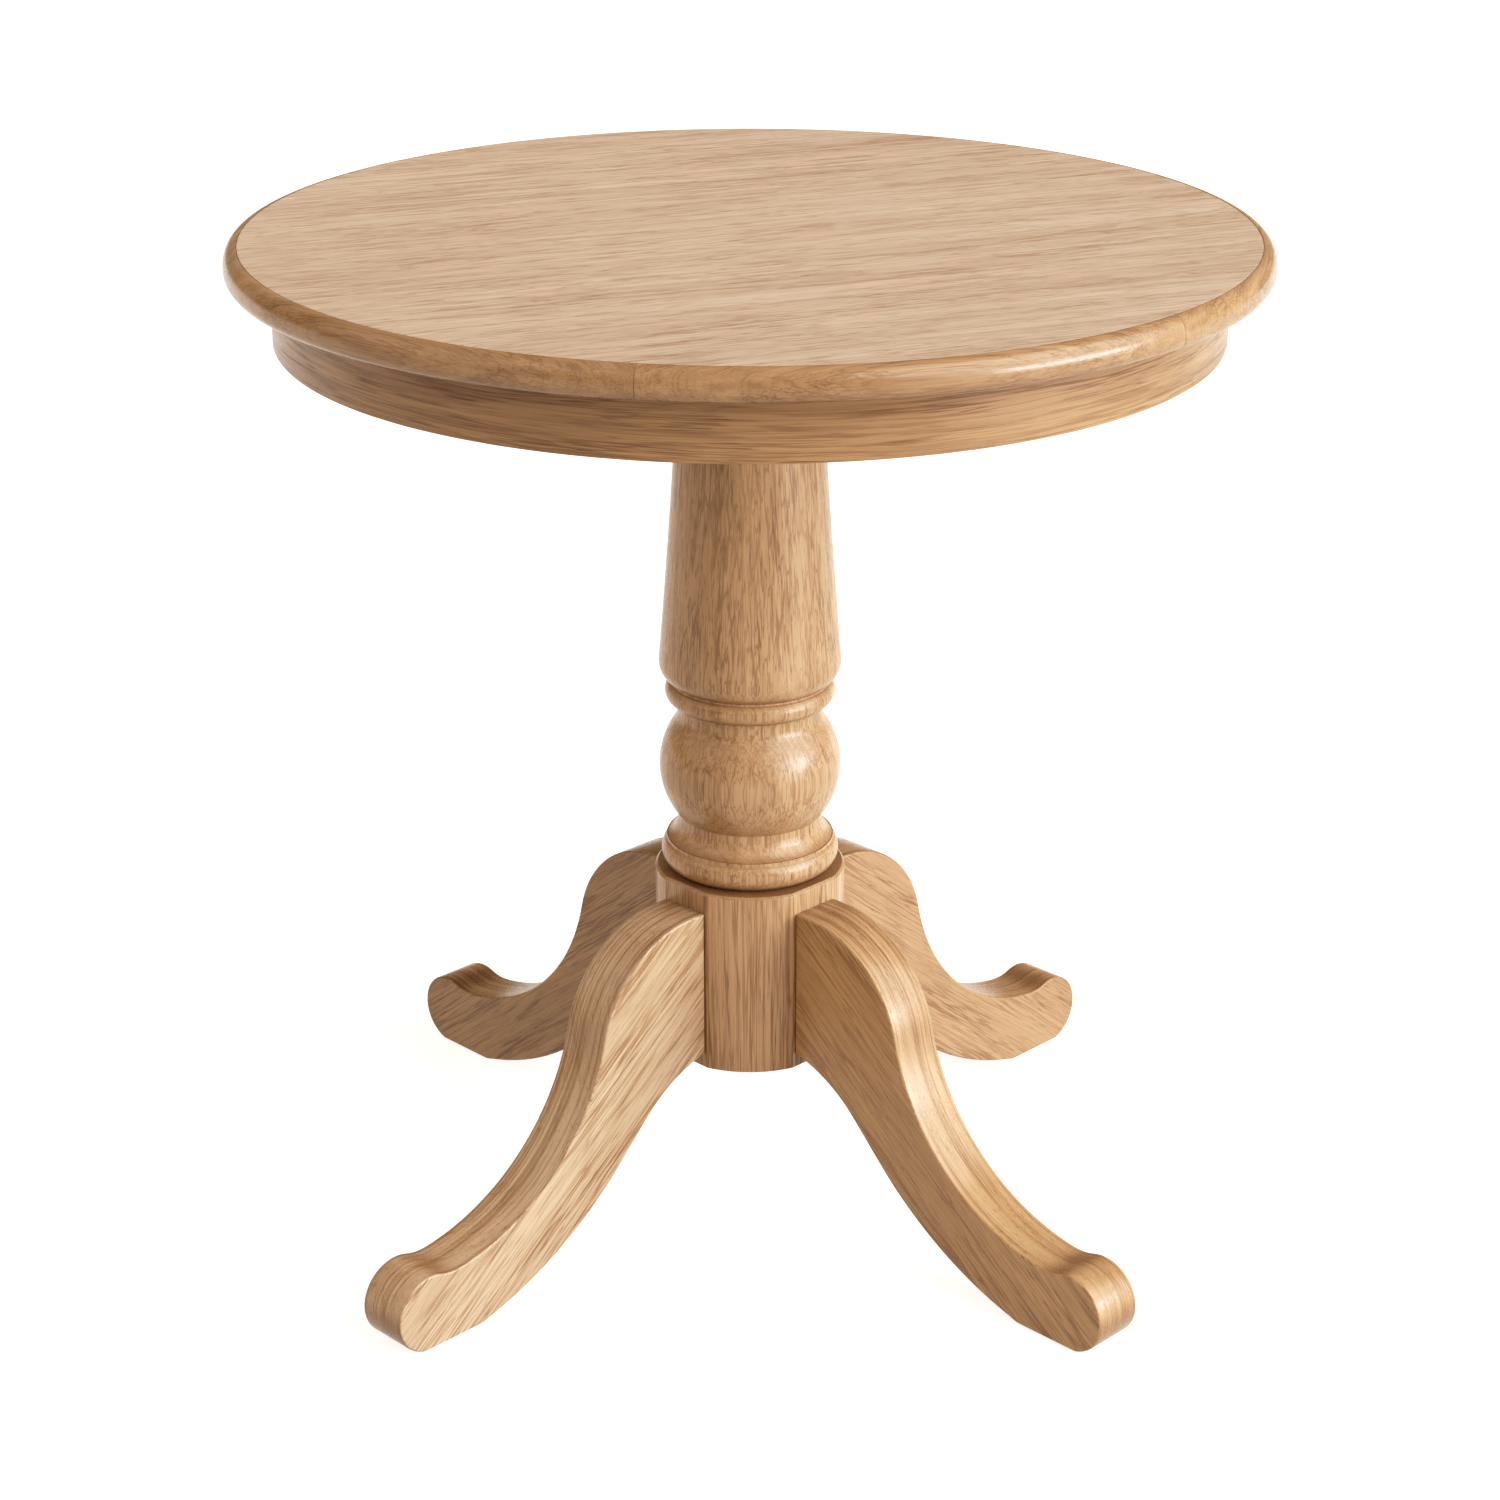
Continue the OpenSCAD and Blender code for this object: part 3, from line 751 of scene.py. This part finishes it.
def build_leg(corner):
    """A leg sawn from a board, with eased edges. Its wide faces are ladders of quads between the
    lower and the upper edge, which run from the column to the tip of the foot."""
    azimuth = math.radians(LEG_AZIMUTHS[corner])
    node = f"{corner}_leg"
    outline = flat_outline(node, in_leg(azimuth), leg_half)
    outline = anticlockwise(straightened(outline, closed=True))
    outline = smoothed(eased(outline, LEG_CORNER_EASE, closed=True), LEG_STEP, closed=True)
    tip = max(range(len(outline)), key=lambda i: outline[i].x)
    root = min(range(len(outline)), key=lambda i: (outline[i].x, abs(outline[i].y - LEG_JOINT_Z)))
    loop = outline[root:] + outline[:root]
    tip = (tip - root) % len(loop)
    under = evenly(loop[:tip + 1], LADDER)
    upper = evenly(loop[tip:] + loop[:1], LADDER)
    loop = under[:-1] + upper[:-1]
    stations = []
    steps = EASED_STEPS // 2
    for k in range(steps + 1):
        angle = math.radians(90) * k / steps
        sideways = leg_half - LEG_EASE * (1 - math.cos(angle))
        stations.append((LEG_EASE * (1 - math.sin(angle)), sideways))
    stations = stations + [(s, -w) for s, w in reversed(stations)]
    rings = []
    for shrink, sideways in stations:
        ring = inset(loop, shrink) if shrink else loop
        rings.append([(p.x * math.cos(azimuth) - sideways * math.sin(azimuth),
                       p.x * math.sin(azimuth) + sideways * math.cos(azimuth), p.y) for p in ring])
    faces = bridge(rings)
    count = len(loop)
    last = (len(rings) - 1) * count
    for base, flip in ((0, 1), (last, -1)):
        for k in range(count // 2):
            a, b = k, k + 1
            c, d = (count - b) % count, (count - a) % count
            corners = []
            for index in (a, b, c, d):
                if base + index not in corners:
                    corners.append(base + index)
            if len(corners) > 2:
                faces.append(tuple(corners[::flip]))
    points = [p for ring in rings for p in ring]
    mesh = make_mesh(f"{corner}_scroll_leg", points, [f[::-1] for f in faces])
    return show_piece(mesh, node)


# each leg was sawn from its own board; the lower tones of the front right and back legs, and the back
# left leg's deeper dark colour, are painted shade on top of that, for the legs that face away from the
# light
LEG_OAK_AND_SHADE = {
    "front_left": dict(tone=1.0, light=linear(212, 190, 163)),
    "front_right": dict(tone=0.94, light=linear(205, 174, 135)),
    "back_right": dict(tone=0.83, light=linear(202, 168, 131)),
    "back_left": dict(tone=0.80, light=linear(202, 168, 128), dark=linear(128, 92, 57)),
}
for i, (corner, degrees) in enumerate(LEG_AZIMUTHS.items()):
    azimuth = math.radians(degrees)
    painted(build_leg(corner),
            oak(f"oak_{corner}", lambda n: board(n, turn=(math.radians(90), GRAIN_SLOPE, azimuth)),
                grain=direction(GRAIN_SLOPE, azimuth), face=direction(0, azimuth + math.radians(90)),
                pith=(0.05, 0.25), ring=3 * MM, taper=0.03, weave=0.4, wander=2.5 * MM, figure=0.5,
                streaks=0.4, lining=0.8, reach=1.6, gloss=0.27, seed=7.7 + 1.9 * i,
                lamella=2 * leg_half / LEG_LAYERS, **LEG_OAK_AND_SHADE[corner]))

# ---- hidden and underside pieces, which keep their CAD meshes ----

BLOCK_MIDDLE_R = 310 * MM


def softwood(name, place):
    return oak(name, place, pith=(0.1, 0.3), ring=5 * MM, light=linear(230, 200, 155),
               dark=linear(200, 158, 108), pores=0.1, gloss=0.6)


lower_bearer = softwood("lower_bearer_wood", lambda n: board(n, turn=(0, 0, math.radians(45))))
upper_bearer = softwood("upper_bearer_wood", lambda n: board(n, turn=(0, 0, math.radians(135))))
blocks = softwood("glue_block_wood", lambda n: bent_board(n, BLOCK_MIDDLE_R))
zinc = steel("zinc_plated", (0.62, 0.63, 0.64, 1.0), roughness=0.28)
black_plate = steel("plate", (0.05, 0.05, 0.055, 1.0), roughness=0.45)
nylon = pressed("nylon", linear(205, 200, 190), speck_scale=1200, roughness=0.42, depth=0.03 * MM)
fibreboard = pressed("fibreboard", linear(168, 134, 98), speck_scale=1600, roughness=0.75,
                     depth=0.05 * MM)
backing = oak("backing_oak", lambda n: board(n, turn=(0, 0, VENEER_TURN)), pith=(0.5, 0.1), gloss=0.6)
by_slot = {"softwood": blocks, "beech": blocks, "zinc_steel": zinc, "plate_steel": black_plate,
           "nylon": nylon, "mdf": fibreboard, "oak_backing": backing}
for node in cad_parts.values():
    slot = node.data.materials[0].name.split(".")[0]
    if slot in by_slot:
        painted(node, by_slot[slot])
painted(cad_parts["lower_bearer"], lower_bearer)
painted(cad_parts["upper_bearer"], upper_bearer)

# ---- floor, light and camera ----

scene = bpy.context.scene

FLOOR_HALF = 12
floor_corners = [(x, y, 0) for x, y in ((-FLOOR_HALF, -FLOOR_HALF), (FLOOR_HALF, -FLOOR_HALF),
                                        (FLOOR_HALF, FLOOR_HALF), (-FLOOR_HALF, FLOOR_HALF))]
floor = bpy.data.objects.new("floor", make_mesh("floor", floor_corners, [(0, 1, 2, 3)]))
scene.collection.objects.link(floor)
floor_nodes = Nodes("pale_floor")
floor_grain = floor_nodes.noise(floor_nodes.add("ShaderNodeTexCoord", out=3), 40, 2)
floor_nodes.surface(floor_nodes.mix(floor_grain, (0.58, 0.57, 0.55, 1), (0.62, 0.61, 0.59, 1)), 0.8,
                    floor_grain, 0.02 * MM, Emission_Strength=0.75, Emission_Color=(1, 1, 1, 1))
painted(floor, floor_nodes.material)
floor.visible_diffuse = False   # the table's underside stays as dark as against a white backdrop

# the camera's contrast: scene brightness and how it is shown, deeper in the shadows
TONE_CURVE = ((0.05, 0.0266), (0.114, 0.076), (0.2, 0.156), (0.3, 0.261), (0.4, 0.376), (0.5, 0.5))
ALL_CHANNELS = 3
AMBIENT_COLOUR = (1.0, 0.77, 0.53, 1.0)
AMBIENT_STRENGTH = 0.53

scene.view_settings.view_transform = "Standard"
scene.view_settings.use_curve_mapping = True
for brightness, shown in TONE_CURVE:
    scene.view_settings.curve_mapping.curves[ALL_CHANNELS].points.new(brightness, shown)
scene.view_settings.curve_mapping.update()
world = bpy.data.worlds.new("studio")
scene.world = world
world.use_nodes = True
studio = world.node_tree
ambient = studio.nodes["Background"]
ambient.inputs["Color"].default_value = AMBIENT_COLOUR
ambient.inputs["Strength"].default_value = AMBIENT_STRENGTH
# the studio's wall, as the camera sees it, is as white as the floor
wall = studio.nodes.new("ShaderNodeBackground")
wall.inputs["Color"].default_value = (1.0, 1.0, 1.0, 1.0)
seen = studio.nodes.new("ShaderNodeLightPath").outputs["Is Camera Ray"]
wall_or_ambient = studio.nodes.new("ShaderNodeMixShader")
for i, output in enumerate((seen, ambient.outputs[0], wall.outputs[0])):
    studio.links.new(output, wall_or_ambient.inputs[i])
studio.links.new(wall_or_ambient.outputs[0], studio.nodes["World Output"].inputs["Surface"])


def softbox(name, place, aim, size, watts):
    data = bpy.data.lights.new(name, "AREA")
    data.shape = "RECTANGLE"
    data.size, data.size_y = size
    data.energy = watts
    light = bpy.data.objects.new(name, data)
    scene.collection.objects.link(light)
    light.location = place
    light.rotation_euler = (Vector(aim) - Vector(place)).to_track_quat("-Z", "Y").to_euler()


def wide_light(name, source, angle, strength, colour=(1, 1, 1)):
    """Soft light from a wide part of the studio, in the direction of source."""
    data = bpy.data.lights.new(name, "SUN")
    data.energy = strength * math.pi
    data.angle = math.radians(angle)
    data.color = colour
    light = bpy.data.objects.new(name, data)
    scene.collection.objects.link(light)
    light.rotation_euler = Vector(source).to_track_quat("Z", "Y").to_euler()


softbox("key", place=(2.4, -1.13, 0.80), aim=(0, 0, 0.36), size=(1.5, 0.6), watts=30)
wide_light("right", source=(0.80, -0.35, 0.45), angle=70, strength=0.96, colour=(0.94, 1.0, 1.12))
wide_light("left", source=(-0.8, -0.2, 0.55), angle=60, strength=0.2)

CAMERA_PLACE = (0, -2.3252, 1.3076)
CAMERA_PITCH = math.radians(68)   # from straight down
camera_data = bpy.data.cameras.new("camera")
camera_data.sensor_width = 36
camera_data.lens = 78.92
camera = bpy.data.objects.new("camera", camera_data)
scene.collection.objects.link(camera)
camera.location = CAMERA_PLACE
camera.rotation_euler = (CAMERA_PITCH, 0, 0)
scene.camera = camera
